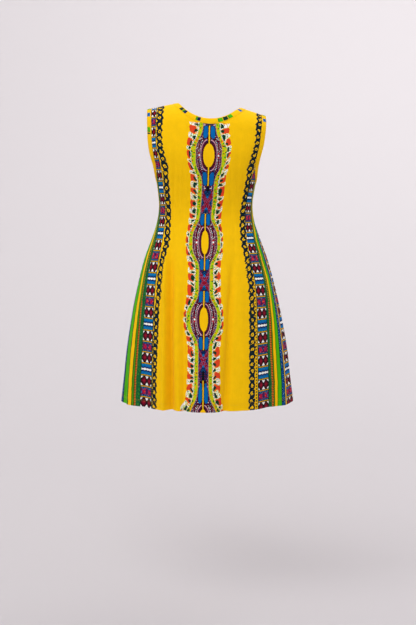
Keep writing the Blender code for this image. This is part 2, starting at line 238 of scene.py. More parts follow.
def clothPoint(angle, down, rise):
    around, downward = formSpeed(angle, down)
    normal = np.cross(around, downward)
    normal /= np.linalg.norm(normal, axis=-1, keepdims=True)
    return formPoint(angle, down) + normal * np.asarray(rise)[..., None], normal


def moved(angle, down, around, downward):
    speedAround, speedDown = formSpeed(angle, down)
    return (angle + around / np.linalg.norm(speedAround, axis=-1),
            down + downward / np.linalg.norm(speedDown, axis=-1))


def seamAngle(reach, down, front=False):
    level = levelOf(down)
    axis = (axisFrontAt if front else axisBackAt)(level)
    distance = (seamFrontAt if front else seamBackAt)(level)
    return angleAt(axis + reach * distance, down, front)


panels = {
    "wall": 0.0014, "halfGap": 0.00012, "seamDip": 0.0011, "seamRun": 0.0022,
    "neckShift": -0.008, "neckHalfWidth": 0.091, "neckDropBack": 0.079, "neckDropFront": 0.129,
    "neckBinding": 0.017, "armBinding": 0.013, "armTipBack": 0.176, "armTipFront": 0.173, "armRoundness": 6.0,
    "neckSteps": 72, "shoulderSteps": 14, "sideSteps": 56, "armRows": 72, "skirtRows": 118, "neckBlend": 0.4,
    "hemAllowance": 0.02, "hemThickness": 0.001,
    "hemStep": 0.0015, "edgeDip": 0.0004,   # how far the outer face comes in at the hem's edge
    "edgeWall": 0.0006,   # the thinnest wall at a seam, and how far the inner face comes out at the hem
    "seamColumns": (0.003, 0.007, 0.013), "lastRows": (0.0012, 0.0004),   # close together at the edges
    "neckSpan": 8, "shoulderSpan": 3,   # how a half centre panel's columns share its width
    "cut": {   # width, length and area of each flat piece of cloth
        "back_centre": (0.382, 0.95, 0.28), "front_centre": (0.345, 0.945, 0.233),
        "back_side_left": (0.175, 0.945, 0.085), "back_side_right": (0.198, 0.945, 0.093),
        "front_side_left": (0.205, 0.945, 0.107), "front_side_right": (0.2, 0.945, 0.104),
        "neck_binding": (0.018, 0.77, 0.0138), "armhole_binding_left": (0.014, 0.69, 0.0096),
        "armhole_binding_right": (0.014, 0.665, 0.0092)},   # the bands' widths once folded in two
}
underarmSeam = underarm + panels["armBinding"]


def neckCurve(share, widen, front=False):
    drop = (panels["neckDropFront"] if front else panels["neckDropBack"]) + widen
    turn = share * math.pi / 2
    return panels["neckShift"] + (panels["neckHalfWidth"] + widen) * np.sin(turn), drop * np.cos(turn)


def armholePlace(hand, share, inset, front=False):
    tip = hand * ((panels["armTipFront"] if front else panels["armTipBack"]) - inset)
    start = np.abs(angleAt(tip, 0.0, front))
    openShare = np.sqrt(np.maximum(1 - share ** panels["armRoundness"], 0))
    return hand * mix(math.pi / 2, start, openShare), share * (underarm + inset)


def panelRows():
    arm = (1 - np.cos(math.pi * np.arange(panels["armRows"] + 1) / panels["armRows"])) / 2
    above, last = (hem - short for short in panels["lastRows"])
    skirt = mix(underarmSeam, above, np.arange(1, panels["skirtRows"] + 1) / panels["skirtRows"])
    return np.concatenate((underarmSeam * arm, skirt, (last, hem)))


rows = panelRows()


def edgeShares(steps, first, last):
    # even shares from 0 to 1 with three close ones at an end that has a seam
    close = np.array(panels["seamColumns"])
    shares = np.linspace(0, 1, steps + 1)
    end = 1 - close[::-1]
    return np.concatenate((shares[:1], close[:3 * first], shares[1:-1], end[:3 * last], shares[-1:]))


def centrePlaces(front):
    neckSpan, shoulderSpan = panels["neckSpan"], panels["shoulderSpan"]
    span = neckSpan + shoulderSpan
    shoulder = edgeShares(panels["shoulderSteps"], False, True)[1:] * shoulderSpan + neckSpan
    neck = np.linspace(-neckSpan, neckSpan, panels["neckSteps"] + 1)
    step = np.concatenate((-shoulder[::-1], neck, shoulder))[None, :]
    widen = panels["neckBinding"] + panels["halfGap"]
    side, topDown = neckCurve(np.clip(step / neckSpan, -1, 1), widen, front)
    level = levelOf(topDown)
    axis = (axisFrontAt if front else axisBackAt)(level)
    topReach = (side - axis) / (seamFrontAt if front else seamBackAt)(level)
    onShoulder = np.abs(step) >= neckSpan
    pastNeck = (np.abs(step) - neckSpan) / shoulderSpan
    topReach = np.where(onShoulder, mix(topReach, np.sign(step), pastNeck), topReach)
    topDown = np.where(onShoulder, 0.0, topDown)
    down = rows[:, None]
    blend = smooth(down / panels["neckBlend"])
    reach = mix(topReach, step / span, blend)
    lowered = down + topDown * (1 - blend)
    atSeam = (np.abs(step) > span - 0.001) * np.sign(step) * panels["halfGap"] * (1 if front else -1)
    fromRidge = ((down == 0) & onShoulder) * panels["halfGap"]
    angle, lowered = moved(seamAngle(reach, lowered, front), lowered, atSeam, fromRidge)
    return angle, np.minimum(lowered, hem), reach


def sidePlaces(hand, front):
    outward = -hand if front else hand
    down = rows
    gap = panels["halfGap"]
    fromRidge = (down == 0) * gap
    first = moved(seamAngle(hand, down, front), down, outward * gap, fromRidge)
    arm = armholePlace(hand, np.minimum(down / underarmSeam, 1), panels["armBinding"] + gap, front)
    onArm = down <= underarmSeam + 1e-9
    lastAngle, lastDown = np.where(onArm, arm[0], hand * math.pi / 2), np.where(onArm, arm[1], down)
    last = moved(lastAngle, lastDown, -outward * gap * (down >= underarmSeam - 1e-9), fromRidge)
    share = edgeShares(panels["sideSteps"], True, True)[None, :]
    angle = mix(first[0][:, None], last[0][:, None], share)
    lowered = mix(first[1][:, None], last[1][:, None], share)
    return angle, lowered, share


def runLengths(points):
    # the length of cloth from the first point of each row to each of the others
    steps = np.linalg.norm(np.diff(points, axis=-2), axis=-1)
    return np.concatenate((np.zeros(steps.shape[:-1] + (1,)), np.cumsum(steps, axis=-1)), axis=-1)


def lengthAt(lengths, shares, atDown, atShare):
    row = np.interp(atDown, levelsDown, np.arange(len(levelsDown)))
    row = np.clip(row, 0, len(levelsDown) - 1.001)
    column = np.clip(np.interp(atShare, shares, np.arange(len(shares))), 0, len(shares) - 1.001)
    r, c = row.astype(int), column.astype(int)
    fr, fc = row - r, column - c
    return ((lengths[r, c] * (1 - fc) + lengths[r, c + 1] * fc) * (1 - fr)
            + (lengths[r + 1, c] * (1 - fc) + lengths[r + 1, c + 1] * fc) * fr)


levelsDown = np.linspace(0, hem, 240)

# Print layout in millimetres: where the ornament's parts fall on this cloth, so that one repeat fits every
# medallion
layout = {
    # where the oval, the dark body and the whole column end in the repeat, from its middle
    "column": (12, 40, 60),
    # length down, and the place in a repeat of 250 that it shows
    "repeat": (
        (0, -188), (102, -85), (137.5, -50), (153, -34.5), (222.2, 34.5), (237, 50), (276.5, 87), (296, 91),
        (354, 160), (357, 166), (388, 200), (404, 215.5), (472, 284.5), (486, 300), (517, 336), (521.5, 340),
        (574.5, 410), (576, 416), (607, 450), (621.5, 465.5), (690.5, 534.5), (706, 550), (742, 586),
        (745.5, 590), (801, 660), (850, 667), (893, 700), (910.5, 715.5), (980, 785),
    ),
    # length down, then how much wider than the repeat: oval, dark body, and outer edge left and right
    "widths": (
        (0, 1.25, 1.12, 1.24, 1.24), (120, 1.25, 1.08, 1.22, 1.22), (188, 1.42, 0.92, 1.06, 1.06),
        (260, 1.15, 1.08, 0.98, 0.96), (330, 1.12, 1.06, 0.9, 0.86), (438, 0.86, 0.9, 0.94, 0.89),
        (540, 1.05, 1, 0.96, 0.95), (620, 1.03, 1, 1.08, 0.97), (660, 1.02, 0.99, 1.14, 0.98),
        (700, 1.01, 0.98, 1.12, 1), (756, 0.98, 0.96, 0.99, 0.97), (812, 0.99, 0.98, 1.06, 1.03),
        (870, 1, 1, 1.24, 1.09), (900, 1.01, 1.01, 1.38, 1.22), (950, 1.02, 1.02, 1.4, 1.3),
    ),
    # length down, and how far to the right of the centre line the column lies
    "columnShift": ((0, 5.5), (120, 6), (260, 7), (310, 5.5), (370, 0.5), (950, 0)),
    # length down, and how much narrower than at the hem the stripes of the side panels lie
    "stripeScale": (
        (0, 0.46), (250, 0.46), (330, 0.5), (430, 0.56), (550, 0.74), (680, 0.88), (850, 1), (950, 1),
    ),
    # length down, and how far from the seam the right side's stripes are shifted
    "rightShift": (
        (0, -45), (150, -42), (200, -30), (270, -8), (360, -2), (388, 0), (446, 4), (494, 1.4), (546, -9.7),
        (600, -13.2), (742, -10.2), (950, -8.6),
    ),
    # how much of its own width the left and the right chain has; then length down, and how far the chain's
    # middle lies from the princess seam, towards the centre
    "chainScale": (0.85, 0.8),
    "chainLeft": (
        (0, 11.5), (190, 12.5), (229, 16.5), (300, 12), (388, 12), (446, 17), (516, 15), (587, 16),
        (642, 11.5), (950, 10.5),
    ),
    "chainRight": (
        (60, -2), (85, 1), (158, 4), (229, 6), (300, 3.5), (388, 10), (446, 12.5), (494, 9.5), (546, 8),
        (600, 5), (742, 9.5), (884, 12.5),
    ),
    # distance from the princess seam on this cloth, and the place in the striped repeat that falls there
    "stripesLeft": (
        (0, 0), (51.7, 51.7), (66.2, 63.7), (72.6, 70.5), (80.9, 75.5), (97.2, 88.4), (103.8, 90.4),
        (138.2, 108.4), (163.9, 127), (213.9, 177),
    ),
    "stripesRight": (
        (-60, -60), (51.7, 51.7), (60.5, 63.7), (68.6, 70.5), (71.7, 75.5), (80.9, 88.4), (82, 90.4),
        (95.4, 108.4), (110.3, 127), (183.5, 175), (233.5, 225),
    ),
    # length down at the middle of each blue block, and their pitch in the print
    "blockPitch": 132,
    "blocksLeft": (149, 281, 413, 545, 677, 809, 941),
    "blocksRight": (175, 307.5, 426.5, 544.5, 680, 817.5, 950),
}


def tableAt(name, down):
    # every column of a layout table at a length down the cloth
    table = np.array(layout[name]).T
    return [np.interp(down * 1000, table[0], values) for values in table[1:]]


def chainPlace(away, down, hand):
    (shift,) = tableAt("chainLeft" if hand > 0 else "chainRight", down)
    return (away - shift / 1000) * layout["chainScale"][hand < 0]


def centrePrintPlace(reach, down, front):
    shares = np.linspace(-1, 1, 121)
    levels = levelsDown[:, None]
    lengths = runLengths(formPoint(seamAngle(shares[None, :], levels, front), levels))
    along, middle, whole = (lengthAt(lengths, shares, down, share)
                            for share in (reach, np.zeros_like(reach), np.ones_like(reach)))
    side = along - middle
    oval, body, outerLeft, outerRight = tableAt("widths", down)
    outer = np.where(side > 0, outerLeft, outerRight)
    side = side + tableAt("columnShift", down)[0] / 1000
    away = np.abs(side)
    ends = np.array(layout["column"]) / 1000
    knots = [end * wide for end, wide in zip(ends, (oval, body, outer))]
    inBody = ends[0] + (away - knots[0]) / (knots[1] - knots[0]) * (ends[1] - ends[0])
    inBorder = ends[1] + (away - knots[1]) / (knots[2] - knots[1]) * (ends[2] - ends[1])
    printed = np.where(away < knots[0], away / oval, np.where(away < knots[1], inBody, inBorder))
    chain = np.where(along > middle, chainPlace(whole - along, down, 1), chainPlace(along, down, -1))
    return {"motif": (np.copysign(printed, side), tableAt("repeat", down)[0] / 1000), "edge": (side, down),
            "chain": (chain, down)}


def sidePrintPlace(share, angle, down, hand, front):
    shares = np.linspace(0, 1, 61)
    levels = levelsDown[:, None]
    angles = mix(seamAngle(hand, levels, front), hand * math.pi / 2, shares[None, :])
    lengths = runLengths(formPoint(angles, levels))
    begin = seamAngle(hand, down, front)
    atShare = np.clip((angle - begin) / (hand * math.pi / 2 - begin), 0, 1)
    away = lengthAt(lengths, shares, down, atShare)
    across = away / tableAt("stripeScale", down)[0]
    if hand < 0:
        across = across + tableAt("rightShift", down)[0] / 1000
    wanted, place = np.array(layout["stripesLeft" if hand > 0 else "stripesRight"]).T / 1000
    across = np.interp(across, wanted, place)
    blocks = np.array(layout["blocksLeft" if hand > 0 else "blocksRight"]) / 1000
    along = np.interp(down, blocks, layout["blockPitch"] / 1000 * np.arange(1, len(blocks) + 1))
    along = along + np.minimum(down - blocks[0], 0) + np.maximum(down - blocks[-1], 0)
    return {"edge": (across, along), "chain": (chainPlace(-away, down, hand), down)}


def addMaps(mesh, maps):
    corner = np.zeros(len(mesh.loops), dtype=np.int32)
    mesh.loops.foreach_get("vertex_index", corner)
    for name, (across, along) in maps.items():
        layer = mesh.uv_layers.new(name=name)
        pairs = np.stack((across[corner], along[corner]), axis=-1)
        layer.data.foreach_set("uv", pairs.astype(np.float32).ravel())


def newObject(name, data):
    item = bpy.data.objects.new(name, data)
    bpy.context.scene.collection.objects.link(item)
    return item


def newMesh(bm, name, materials):
    mesh = bpy.data.meshes.new(name)
    bm.to_mesh(mesh)
    bm.free()
    mesh.shade_smooth()
    for material in materials:
        mesh.materials.append(material)
    return mesh


def finishPiece(bm, name, materials, maps=None):
    mesh = newMesh(bm, name, materials)
    if maps:
        addMaps(mesh, maps)
    piece = newObject(name, mesh)
    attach(piece, "root")
    return piece


def clothShell(name, angle, down, maps, materials):
    # a grid laid on the form, a second one inside it, and a bridge round their edges
    rowCount, columnCount = angle.shape
    outer, normal = clothPoint(angle, down, np.zeros(angle.shape))
    lengths = runLengths(outer)
    toEnd = lengths[:, -1:] - lengths
    dip = sum(panels["seamDip"] * np.exp(-(away / panels["seamRun"]) ** 2) for away in (lengths, toEnd))
    dip[-1] += panels["edgeDip"]
    allowance = smooth((down - (hem - panels["hemAllowance"])) / panels["hemStep"]) * panels["hemThickness"]
    allowance[-1] -= panels["edgeWall"]
    outerPoints = outer - normal * dip[..., None]
    wall = np.maximum(panels["wall"], dip + panels["edgeWall"]) + allowance
    innerPoints = outer - normal * wall[..., None]
    bm = bmesh.new()
    bmesh.ops.create_grid(bm, x_segments=columnCount - 1, y_segments=rowCount - 1, size=0.5)
    outside = len(bm.verts)
    inner = bmesh.ops.duplicate(bm, geom=bm.verts[:] + bm.edges[:] + bm.faces[:])
    for face in inner["geom"]:
        if isinstance(face, bmesh.types.BMFace):
            face.material_index = 1
    bm.verts.index_update()
    columns = np.zeros(len(bm.verts), dtype=int)
    rowNumbers = np.zeros(len(bm.verts), dtype=int)
    for vertex in bm.verts:
        column = round((vertex.co.x + 0.5) * (columnCount - 1))
        row = round((0.5 - vertex.co.y) * (rowCount - 1))
        columns[vertex.index], rowNumbers[vertex.index] = column, row
        vertex.co = (outerPoints if vertex.index < outside else innerPoints)[row, column]
    bmesh.ops.bridge_loops(bm, edges=[edge for edge in bm.edges if edge.is_boundary])
    bmesh.ops.recalc_face_normals(bm, faces=bm.faces)
    placed = {key: (across[rowNumbers, columns], along[rowNumbers, columns])
              for key, (across, along) in maps.items()}
    return finishPiece(bm, name, materials, placed)


# Colours of the print, as seen in daylight
inks = {
    "yellow": (251, 199, 6), "deepYellow": (240, 180, 4), "orange": (250, 120, 5), "redOrange": (226, 70, 35),
    "white": (250, 250, 245), "lime": (178, 206, 18), "leaf": (70, 150, 20), "brightGreen": (78, 182, 12),
    "darkGreen": (26, 108, 54), "deepGreen": (10, 58, 40), "navy": (12, 34, 82), "blue": (0, 100, 172),
    "sky": (0, 132, 186), "maroon": (98, 12, 34), "crimson": (150, 16, 40), "wine": (62, 10, 30),
    "red": (190, 22, 36), "purple": (62, 26, 84), "magenta": (176, 26, 92), "chain": (10, 34, 44),
    "black": (12, 14, 20), "pink": (218, 160, 172), "cream": (246, 232, 190),
}


def linear(name):
    levels = [c / 255 for c in inks[name]]
    return tuple(((c + 0.055) / 1.055) ** 2.4 if c > 0.04 else c / 12.92 for c in levels) + (1.0,)


def setInputs(node, inputs):
    # plain values are set, and lanes and other nodes' outputs are linked
    for key, value in inputs.items():
        if isinstance(value, Lane):
            value = value.socket
        if isinstance(value, bpy.types.NodeSocket):
            node.id_data.links.new(value, node.inputs[key])
        else:
            node.inputs[key].default_value = value


def newNode(tree, kind, inputs, **settings):
    node = tree.nodes.new("ShaderNode" + kind)
    for name, value in settings.items():
        setattr(node, name, value)
    setInputs(node, inputs)
    return node


class Lane:   # one number of a material, which the signs + - * / < > turn into Math nodes
    def __init__(self, tree, socket):
        self.tree, self.socket = tree, socket

    def math(self, operation, *others):
        node = newNode(self.tree, "Math", dict(enumerate((self,) + others)), operation=operation)
        return Lane(self.tree, node.outputs[0])

    def __abs__(self):
        return self.math("ABSOLUTE")

    def within(self, low, high):
        return (self > low) * (self < high)


for sign, operation in (
        ("add", "ADD"), ("sub", "SUBTRACT"), ("mul", "MULTIPLY"), ("truediv", "DIVIDE"), ("pow", "POWER"),
        ("mod", "FLOORED_MODULO"), ("lt", "LESS_THAN"), ("gt", "GREATER_THAN")):
    setattr(Lane, "__%s__" % sign, lambda self, other, operation=operation: self.math(operation, other))


def clothLanes(tree, name):
    source = newNode(tree, "UVMap", {}, uv_map=name)
    parts = newNode(tree, "SeparateXYZ", {0: source.outputs[0]})
    return Lane(tree, parts.outputs[0]), Lane(tree, parts.outputs[1])


def joined(across, along):
    return newNode(across.tree, "CombineXYZ", {0: across, 1: along}).outputs[0]


def layers(colour, *inkings):
    # inks laid one over another, each where its mask is 1
    for mask, ink in inkings:
        under, over = (linear(value) if isinstance(value, str) else value for value in (colour, ink))
        colour = newNode(mask.tree, "Mix", {0: mask, 6: under, 7: over}, data_type="RGBA").outputs[2]
    return colour


def dotted(run, pitch, share, ground, ink):
    return layers(ground, (((run / pitch) % 1) < share, ink))


def choose(value, *steps):
    # a colour from rows of (start, ink) by a number from 0 to 1
    ramp = newNode(value.tree, "ValToRGB", {0: value})
    ramp.color_ramp.interpolation = "CONSTANT"
    points = ramp.color_ramp.elements
    while len(points) < len(steps):
        points.new(0.5)
    for point, (start, ink) in zip(points, steps):
        point.position = start
        point.color = linear(ink)
    return ramp.outputs[0]


def scatter(across, along, size, seed=0.0):
    # round beads of a size in the lanes' unit: each one's random number, and the distance from its middle
    tree = across.tree
    inputs = {"Scale": 1 / size, "Randomness": 0.55, "Vector": joined(across + seed, along)}
    node = newNode(tree, "TexVoronoi", inputs, voronoi_dimensions="2D")
    parts = newNode(tree, "SeparateColor", {0: node.outputs["Color"]})
    return Lane(tree, parts.outputs[0]), Lane(tree, node.outputs["Distance"])


def noiseLane(across, along, scale, detail=1.0):
    inputs = {"Scale": scale, "Detail": detail, "Vector": joined(across, along)}
    node = newNode(across.tree, "TexNoise", inputs, noise_dimensions="2D")
    return Lane(across.tree, node.outputs[0])


def centrePrint(tree):
    # every number here is in millimetres of the printed repeat
    side, run = clothLanes(tree, "motif")
    edge, down = clothLanes(tree, "edge")
    along = run * 1000
    wobble = noiseLane(side, run, 260.0) * 1.6 - 0.8
    x = abs(side * 1000) + wobble
    y = abs((along + 125) % 250 - 125)
    swell = ((y / 51) ** 3 * -1).math("EXPONENT")
    body = swell * 24.5 + 15.5
    outer = swell * 10 + 50
    inColumn = down > 0.0925

    # petals, white and red by turns, with a dark seed inside each
    inner = body + 10.5
    across = (x - inner) / (outer - inner)
    turn = down * (1000 / 17.6) + across * 0.38 + noiseLane(side, down, 42.0) * 1.6
    red = (turn % 2) > 1
    middle = abs(turn % 1 - 0.5)
    rough = noiseLane(side, down, 240.0) + noiseLane(side + 3.0, down, 34.0) * 1.1 - 1.15
    seed = ((across - 0.32) / 0.22) ** 2 + (middle / 0.28) ** 2 + rough
    blob = ((across - 0.66) / 0.42) ** 2 + (middle / 0.5) ** 2 + rough
    pick, near = scatter(x, down * 1000, 3.3, 90.0)
    specks = choose(
        pick, (0.0, "lime"), (0.3, "deepGreen"), (0.52, "deepYellow"), (0.74, "leaf"), (0.86, "orange"))
    petals = layers(
        "white", ((near < 0.4) * (pick < 0.88) * (across < 0.92), specks),
        ((red < 0.5) * (middle > 0.44), "deepYellow"), (red * (blob < 1.45), "orange"),
        (red * (blob < 1.0), "redOrange"), (seed < 1.0, "deepGreen"))
    scallop = outer - middle * middle * 13 + rough

    # the lime band and its dotted gap
    pick, _ = scatter(x, down * 1000, 3.6)
    limeBand = choose(
        pick, (0.0, "lime"), (0.42, "leaf"), (0.58, "lime"), (0.7, "deepYellow"), (0.88, "orange"),
        (0.94, "deepGreen"))
    colour = layers(
        "yellow", ((x < scallop) * inColumn, petals), ((x < inner) * inColumn, limeBand),
        ((x < body + 1.6) * inColumn, dotted(down, 0.0062, 0.4, "lime", "deepYellow")))

    # the beaded body
    pick, near = scatter(x, down * 1000, 3.0, 40.0)
    beads = choose(
        pick, (0.0, "maroon"), (0.34, "navy"), (0.58, "crimson"), (0.71, "white"), (0.76, "sky"),
        (0.81, "pink"), (0.87, "maroon"))
    dark = layers(
        "wine", (y > 86, "navy"), (near < 0.4, beads),
        (x > (body - 2.3), dotted(down, 0.0042, 0.36, "navy", "pink")),
        (x.within(body - 8.8, body - 7.2) * (y < 46), dotted(down, 0.005, 0.4, "black", "pink")))

    # a red cross on navy between two medallions
    arm = abs(x - abs(y - 125) * 0.42 - 0.5)
    crossed = layers(
        "navy", (arm < 5.6, "crimson"), ((arm < 5.6) * (near < 0.3) * (pick < 0.34), "wine"),
        ((x * 1.4 + abs(y - 105)) < 5.5, "blue"), ((near < 0.24) * (pick > 0.55), "sky"))

    # blue lobes beside the slit
    lobe = abs(y - 67) / 18.0
    lobeSide = abs(x - 8.4 + (y - 67) * 0.05) / (lobe ** 4 * -3.4 + 5.5)
    dark = layers(
        dark, ((y > 90) * (x < (body - 2.6)), crossed),
        ((lobeSide < 1.28) * (lobe < 1.08), "black"), ((lobeSide < 1.0) * (lobe < 1.0), "blue"))

    # rings round the oval
    ring = ((x / 20.5) ** 2 + (y / 46) ** 2) ** 0.5
    dark = layers(
        dark, (ring < 1.0, layers("navy", (near < 0.3, "maroon"))),
        ((abs(ring - 1.0) < 0.034) * (y < 45), "pink"))
    for radius, ink in ((0.82, "crimson"), (1.2, "white"), (1.4, "crimson"), (1.6, "pink")):
        dots = layers("black", (((down / 0.0046 + radius * 3) % 1) < 0.42, ink))
        dark = layers(dark, ((abs(ring - radius) < 0.045) * (y < 44) * (x < (body - 4.0)), dots))
    bow = (abs(x - 27) < 2.4) * (y < 8)
    oval = (x / 12) ** 2.0 + (y / 34.5) ** 2.0
    slit = (x < 1.5) * (y < 86)
    dark = layers(
        dark, (bow, "red"), (bow * (y < 2.6), "white"),
        (oval < 1.42, dotted(along, 4.4, 0.4, "black", "maroon")),
        ((x < 3.4) * y.within(34, 90), "black"), ((oval < 1.0).math("MAXIMUM", slit), "yellow"))
    return layers(colour, ((x < body) * inColumn, dark), (chainInk(tree), "chain")), edge, down


def chainInk(tree):
    # a linked chain that follows the princess seam
    across, down = clothLanes(tree, "chain")
    bend = noiseLane(across, down, 60.0) * 4.4 - 2.2
    curl = noiseLane(across + 3.0, down, 190.0) * 9.0 - 4.5
    c = across * 1000 + bend + curl * 0.7
    d = (down * 1000 + bend * 1.8 + curl) % 21 - 10.5
    link = ((c / 9.2) ** 2 + (d / 10.6) ** 2) ** 0.5
    knot = ((c / 7.0) ** 2 + ((abs(d) - 10.5) / 3.0) ** 2) ** 0.5
    return (abs(link - 0.72) < 0.28).math("MAXIMUM", knot < 1.0).math("MAXIMUM", link < 0.15)


def blockPrint(tree, across, along, colour, start, width):
    # blocks of diamonds, waves and flowers, one above the other with a yellow line between
    x = (across - start) / width
    w = abs((along + 66) % 132 - 66)
    lens = (x * (2 * math.pi * 3.5)).math("COSINE")
    waves = choose(
        (w + lens * 0.9) / 20, (0.0, "white"), (0.13, "navy"), (0.34, "blue"), (0.6, "sky"),
        (0.74, "deepGreen"))
    low = abs(w - 34) / 14.0
    diamond = abs((x * 2) % 1 - 0.5) * 2 + low
    diamonds = layers(
        "black", ((diamond > 1.3) * (low > 0.42) * (low < 0.96), "white"),
        (diamond < 0.84, "maroon"), (diamond < 0.4, "crimson"))
    fx = abs((x * 2) % 1 - 0.5) * 2 * width / 4
    fy = abs(w - 66)
    petal = (fx * fx + fy * fy) ** 0.5
    pick, near = scatter(x * 45, along, 4.2, 20.0)
    flowers = layers(
        "purple", ((near < 0.32) * (pick > 0.84), "sky"), ((petal + pick * 3) < 8.2, "magenta"),
        (abs(fx - fy) < 1.3, "crimson"), ((petal + pick * 2) < 4.6, "red"),
        ((near < 0.3) * (pick < 0.16), "orange"), (fy > 9.8, "navy"),
        ((fy > 9.8) * (((x * 6) % 1) < 0.4), "sky"))
    block = layers(
        "deepYellow", (w < 15.5, waves), (w.within(19.5, 48.5), diamonds), (w > 52.5, flowers),
        *((abs(w - line) < 0.55, "black") for line in (16.0, 19.2, 48.9, 52.2)))
    edged = layers("deepGreen", (x.within(0.035, 0.965), block))
    return layers(colour, (x.within(0.0, 1.0), edged))


def sidePrint(tree):
    # in millimetres from the princess seam and down
    across, along = clothLanes(tree, "edge")
    x = across * 1000 + (noiseLane(across, along, 60.0) * 1.6 - 0.8)
    y = along * 1000
    stripes = (
        (-200, "yellow"), (-17, "darkGreen"), (-14.6, "yellow"), (-1.2, "deepGreen"), (51.7, "darkGreen"),
        (63.7, "black"), (64.8, "deepYellow"), (69.6, "black"), (70.5, "leaf"), (74.8, "black"),
        (76, "yellow"), (87.6, "black"), (90.4, "brightGreen"), (107.4, "black"), (110.2, "navy"),
        (126, "deepGreen"), (128, "yellow"), (131, "black"), (175, "yellow"), (179, "darkGreen"),
        (194, "brightGreen"))
    colour = choose((x + 200) / 440, *(((start + 200) / 440, ink) for start, ink in stripes))
    pick, near = scatter(x, y, 3.4)
    bead = abs((y / 4.8) % 1 - 0.5) * 2
    beads, dots, spots = x.within(64.6, 69.8), x.within(52.4, 63.2) * (near < 0.3), x.within(110.8, 125.6)
    colour = layers(
        colour, (dots, "deepGreen"), (dots * (pick > 0.72), "leaf"),
        (beads * (bead > 0.5), "deepGreen"),
        (beads * (bead < 0.5) * (noiseLane(across, along, 9.0, 2.0) > 0.5), "orange"),
        (spots * (near < 0.44) * (pick > 0.2), "blue"), (spots * (near < 0.22) * (pick > 0.86), "white"),
        (x.within(-7.4, -3.2) * (((y / 8.5) % 1) < 0.55), "chain"),
        (x.within(94.0, 95.2) + x.within(103.4, 104.2), "leaf"),
        (x.within(184.0, 191.0) * (near < 0.32), "lime"))
    for start, width in ((1.4, 50.3), (132.0, 42.5)):
        colour = blockPrint(tree, x, y, colour, start, width)
    return layers(colour, (chainInk(tree) * (x < 1.0), "chain")), across, along


def bindingPrint(tree):
    along, across = clothLanes(tree, "edge")
    cell = along / 0.0165
    pickNode = newNode(tree, "TexWhiteNoise", {"W": cell.math("FLOOR")}, noise_dimensions="1D")
    pick = Lane(tree, pickNode.outputs["Value"])
    patches = choose(
        pick, (0.0, "yellow"), (0.34, "navy"), (0.52, "brightGreen"), (0.6, "yellow"),
        (0.7, "maroon"), (0.79, "yellow"), (0.84, "blue"), (0.92, "deepGreen"), (0.97, "redOrange"))
    part, inBand = cell % 1, across.within(0.16, 0.84)
    colour = layers(
        "yellow", (part.within(0.05, 0.95) * inBand, patches),
        (part.within(0.62, 0.95) * inBand * (pick > 0.34) * (pick < 0.62), "leaf"))
    return colour, along, across


cloth = {
    "tone": 0.12, "toneNoise": (45.0, 4.0), "reverseFade": 0.42, "fadeNoise": (900.0, 2.0), "fadeRange": 0.16,
    "walePitch": 0.0006, "coursePitch": 0.0008, "waleHeight": 0.00002,
    "crinkle": 0.0009, "crinkleNoise": (26.0, 3.0), "crinkleStretch": 9, "bump": 0.55,
    "roughness": 0.76, "roughNoise": (320.0, 2.0), "roughRange": 0.14, "specular": 0.08, "sheen": 0.02,
    "sheenRoughness": 0.5, "threadNoise": 1800.0, "threadShade": 0.78, "threadRoughness": 0.6,
}


def newMaterial(name):
    material = bpy.data.materials.new(name)
    material.use_nodes = True
    return material, material.node_tree, material.node_tree.nodes["Principled BSDF"]


def clothMaterial(name, printed, reverse):
    material, tree, shader = newMaterial(name)
    colour, across, along = printed(tree)
    if reverse:   # the back of a print is paler, with the ink only partly through
        fade = noiseLane(across, along, *cloth["fadeNoise"]) * cloth["fadeRange"] + cloth["reverseFade"]
        colour = layers(colour, (fade, "cream"))
    shade = noiseLane(across, along, *cloth["toneNoise"]) * cloth["tone"] + (1 - cloth["tone"] / 2)
    mottle = newNode(tree, "HueSaturation", {"Color": colour, "Value": shade})
    # fine jersey wales and soft crinkles along the grain
    wales, courses = (lane * (2 * math.pi / pitch) for lane, pitch in
                      ((across, cloth["walePitch"]), (along, cloth["coursePitch"])))
    crinkle = noiseLane(across * cloth["crinkleStretch"], along, *cloth["crinkleNoise"])
    height = wales.math("SINE") * courses.math("SINE") * cloth["waleHeight"] + crinkle * cloth["crinkle"]
    bump = newNode(tree, "Bump", {"Strength": cloth["bump"], "Distance": 1.0, "Height": height})
    rough = noiseLane(across, along, *cloth["roughNoise"]) * cloth["roughRange"] + cloth["roughness"]
    setInputs(shader, {
        "Base Color": mottle.outputs[0], "Normal": bump.outputs[0], "Roughness": rough,
        "Specular IOR Level": cloth["specular"], "Sheen Weight": cloth["sheen"],
        "Sheen Roughness": cloth["sheenRoughness"]})
    return material


def threadMaterial(name, ink):
    material, tree, shader = newMaterial(name)
    place = newNode(tree, "TexCoord", {})
    twist = newNode(tree, "TexNoise", {"Scale": cloth["threadNoise"], "Vector": place.outputs["Object"]})
    ramp = newNode(tree, "ValToRGB", {0: twist.outputs[0]})
    ramp.color_ramp.elements[0].color = tuple(cloth["threadShade"] * c for c in linear(ink)[:3]) + (1.0,)
    ramp.color_ramp.elements[1].color = linear(ink)
    setInputs(shader, {"Base Color": ramp.outputs[0], "Roughness": cloth["threadRoughness"]})
    return material


centreCloth, sideCloth = (
    [clothMaterial(name, printed, False), clothMaterial(name + "_reverse", printed, True)]
    for name, printed in (("centre_print", centrePrint), ("side_print", sidePrint)))
bindingFace = clothMaterial("binding_print", bindingPrint, False)
yellowThread = threadMaterial("yellow_thread", "deepYellow")
print("Materials done:", len(bpy.data.materials))

